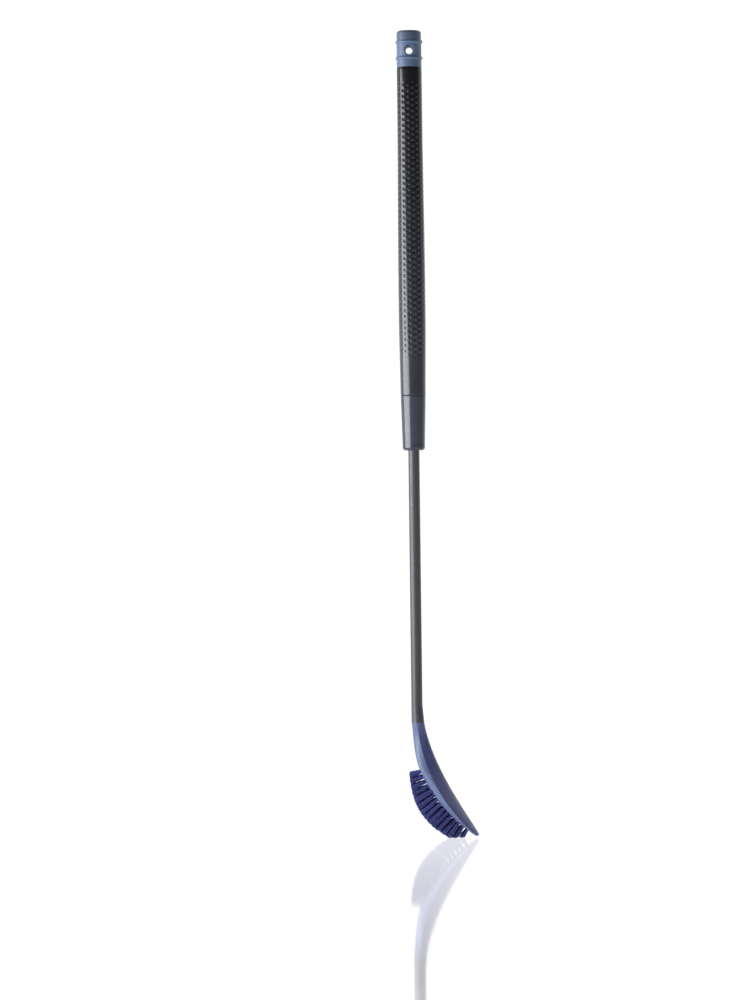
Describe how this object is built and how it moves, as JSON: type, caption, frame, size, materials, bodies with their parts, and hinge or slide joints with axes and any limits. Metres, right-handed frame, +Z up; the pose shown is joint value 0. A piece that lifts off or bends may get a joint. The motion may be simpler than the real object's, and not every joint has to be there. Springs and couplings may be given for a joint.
{
  "type": "long-handled curved brush",
  "caption": "Slim upright brush: capped rubber-gripped telescopic handle on a thin metal shaft, with a curved paddle head whose tufts stand on the ground.",
  "frame": {"origin": "centre of the round hanging hole through the end cap at the top of the handle", "axes": "+Z up along the handle, from the brush head to the end cap; +Y along the hanging hole; the tufts face -X and the head curves towards +X"},
  "size_m": [0.0741, 0.0388, 0.807],
  "materials": {
    "plug_blue": "satin",
    "cap_blue": "satin",
    "grip_rubber": "dimpled satin",
    "tube_aluminium": "mill finish",
    "lock_nylon": "natural nylon",
    "bumper_rubber": "matt",
    "collar_core": "matt",
    "collar_rubber": "smooth satin",
    "shaft_metal": "satin anodised grey",
    "coupler_metal": "satin",
    "pin_steel": "plain",
    "head_light": "satin moulded",
    "head_dark": "satin moulded",
    "staple_brass": "bright",
    "tuft_nylon": "nylon filament"
  },
  "bodies": {
    "handle": {"top_plug": "plug_blue", "end_cap": "cap_blue", "grip_sleeve": "grip_rubber", "handle_tube": "tube_aluminium", "lock_collet": "lock_nylon", "travel_bumper": "bumper_rubber"},
    "bush": {"guide_bush": "lock_nylon"},
    "collar": {"collar_nut": "collar_core", "collar_cover": "collar_rubber", "collar_end_ring": "collar_rubber", "wiper_ring": "bumper_rubber"},
    "shaft": {"shaft_tube": "shaft_metal", "shaft_end_plug": "collar_core", "stop_sleeve": "lock_nylon", "neck_coupler": "coupler_metal", "tang_pin": "pin_steel", "head_front_shell": "head_light", "head_back_shell": "head_dark", "tuft_anchors": "staple_brass", "tuft_row_01": "tuft_nylon", "tuft_row_02": "tuft_nylon", "tuft_row_03": "tuft_nylon", "tuft_row_04": "tuft_nylon", "tuft_row_05": "tuft_nylon", "tuft_row_06": "tuft_nylon", "tuft_row_07": "tuft_nylon", "tuft_row_08": "tuft_nylon", "tuft_row_09": "tuft_nylon", "tuft_row_10": "tuft_nylon", "tuft_row_11": "tuft_nylon", "tuft_row_12": "tuft_nylon", "tuft_row_13": "tuft_nylon", "tuft_row_14": "tuft_nylon", "tuft_row_15": "tuft_nylon"}
  },
  "joints": [
    {"name": "shaft_slide", "type": "slide", "parent": "handle", "child": "bush", "axis": [0, 0, 1], "range_m": [0, 0.24]},
    {"name": "shaft_swivel", "type": "hinge", "parent": "bush", "child": "shaft", "pos_m": [0, 0, 0], "axis": [0, 0, 1], "continuous": true},
    {"name": "collar_turn", "type": "hinge", "parent": "handle", "child": "collar", "pos_m": [0, 0, 0], "axis": [0, 0, 1], "range_deg": [0, 90]}
  ]
}
